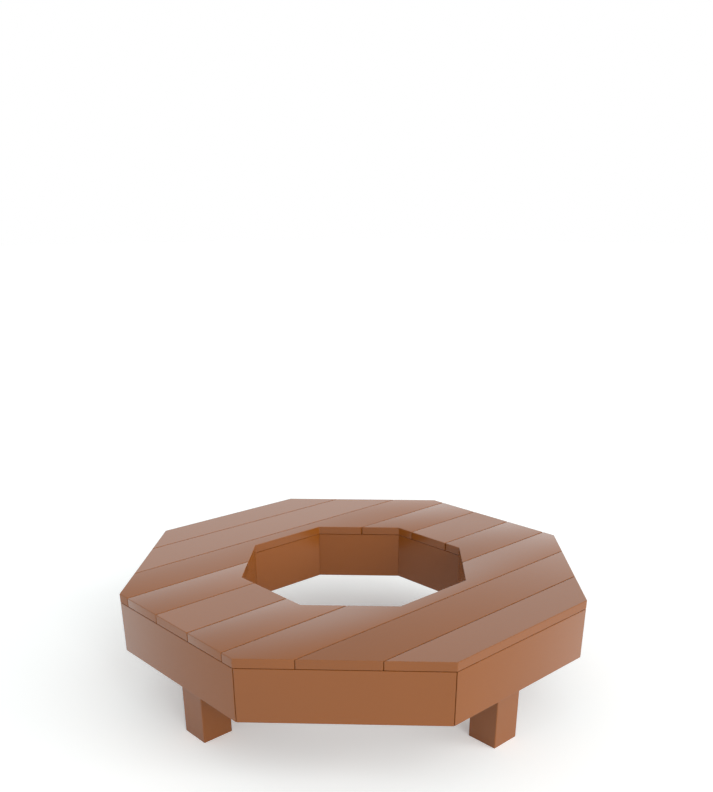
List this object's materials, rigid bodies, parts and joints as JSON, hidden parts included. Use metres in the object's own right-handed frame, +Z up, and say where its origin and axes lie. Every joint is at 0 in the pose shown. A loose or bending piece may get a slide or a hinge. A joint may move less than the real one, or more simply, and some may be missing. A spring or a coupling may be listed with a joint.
{
  "type": "tree bench",
  "caption": "Octagonal planked seat ring with an octagonal opening for a tree trunk, deep fascia boards and square legs.",
  "frame": {"origin": "on the floor, under the middle of the seat ring and its opening", "axes": "+Z up, X along the seat planks, Y across them; a leg stands on each of the four sides that face along X and Y"},
  "size_m": [1.62, 1.62, 0.45],
  "materials": {
    "stained_wood": "terracotta brown opaque satin stain",
    "frame_wood": "the same stain, one thin coat on sawn timber",
    "zinc_steel": "zinc plated, dull"
  },
  "bodies": {
    "root": {"seat_plank_1": "stained_wood", "seat_plank_2": "stained_wood", "seat_plank_3": "stained_wood", "seat_plank_4_left": "stained_wood", "seat_plank_4_right": "stained_wood", "seat_plank_5_left": "stained_wood", "seat_plank_5_right": "stained_wood", "seat_plank_6_left": "stained_wood", "seat_plank_6_right": "stained_wood", "seat_plank_7": "stained_wood", "seat_plank_8": "stained_wood", "seat_plank_9": "stained_wood", "outer_fascia_1": "stained_wood", "outer_fascia_2": "stained_wood", "outer_fascia_3": "stained_wood", "outer_fascia_4": "stained_wood", "outer_fascia_5": "stained_wood", "outer_fascia_6": "stained_wood", "outer_fascia_7": "stained_wood", "outer_fascia_8": "stained_wood", "inner_fascia_1": "stained_wood", "inner_fascia_2": "stained_wood", "inner_fascia_3": "stained_wood", "inner_fascia_4": "stained_wood", "inner_fascia_5": "stained_wood", "inner_fascia_6": "stained_wood", "inner_fascia_7": "stained_wood", "inner_fascia_8": "stained_wood", "outer_joist_1": "frame_wood", "outer_joist_2": "frame_wood", "outer_joist_3": "frame_wood", "outer_joist_4": "frame_wood", "outer_joist_5": "frame_wood", "outer_joist_6": "frame_wood", "outer_joist_7": "frame_wood", "outer_joist_8": "frame_wood", "inner_joist_1": "frame_wood", "inner_joist_2": "frame_wood", "inner_joist_3": "frame_wood", "inner_joist_4": "frame_wood", "inner_joist_5": "frame_wood", "inner_joist_6": "frame_wood", "inner_joist_7": "frame_wood", "inner_joist_8": "frame_wood", "bearer_1": "frame_wood", "bearer_2": "frame_wood", "bearer_3": "frame_wood", "bearer_4": "frame_wood", "bearer_5": "frame_wood", "bearer_6": "frame_wood", "bearer_7": "frame_wood", "bearer_8": "frame_wood", "leg_1": "stained_wood", "leg_3": "stained_wood", "leg_5": "stained_wood", "leg_7": "stained_wood", "leg_bolts": "zinc_steel", "leg_nuts": "zinc_steel", "corner_plates": "zinc_steel", "plank_angles": "zinc_steel"}
  },
  "joints": []
}
